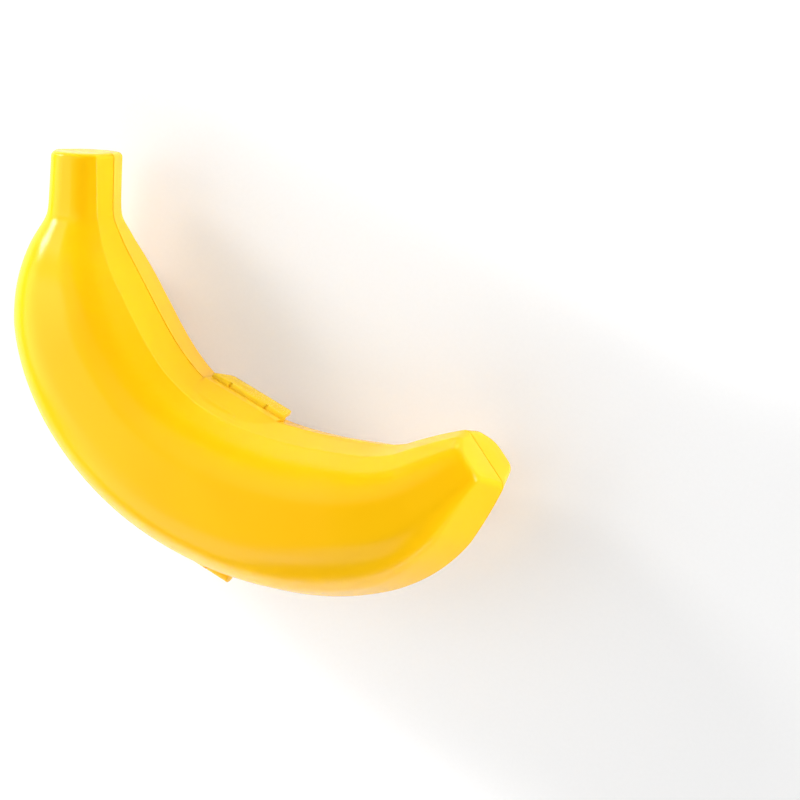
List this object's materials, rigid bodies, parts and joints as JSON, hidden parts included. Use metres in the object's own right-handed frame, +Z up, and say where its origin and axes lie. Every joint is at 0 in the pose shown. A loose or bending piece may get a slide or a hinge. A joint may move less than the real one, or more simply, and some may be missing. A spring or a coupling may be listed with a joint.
{
  "type": "banana carrying case",
  "caption": "Banana-shaped hard case of curved half shells, hinged along the outer edge and held shut by a flip latch on the inner edge.",
  "frame": {"origin": "on the table, on the flat side that the case lies on, under the middle of the belly line", "axes": "+X along the hinge from the stem towards the tip, +Y from the hinge to the latch, +Z up from the table"},
  "size_m": [0.2214, 0.1235, 0.06],
  "materials": {
    "shell": "satin gloss yellow moulded plastic",
    "flap": "satin gloss yellow moulded plastic",
    "pin": "plain steel wire"
  },
  "bodies": {
    "base": {"base_shell": "shell", "hinge_pin": "pin"},
    "lid": {"lid_shell": "shell", "latch_pin": "pin"},
    "latch": {"latch_flap": "flap"}
  },
  "joints": [
    {"name": "lid_hinge", "type": "hinge", "parent": "base", "child": "lid", "pos_m": [0.0035, -0.02995, 0.03], "axis": [1, 0, 0], "range_deg": [0, 180]},
    {"name": "latch_hinge", "type": "hinge", "parent": "lid", "child": "latch", "pos_m": [0.0035, 0.0332, 0.02395], "axis": [1, 0, 0], "range_deg": [0, 100]}
  ]
}
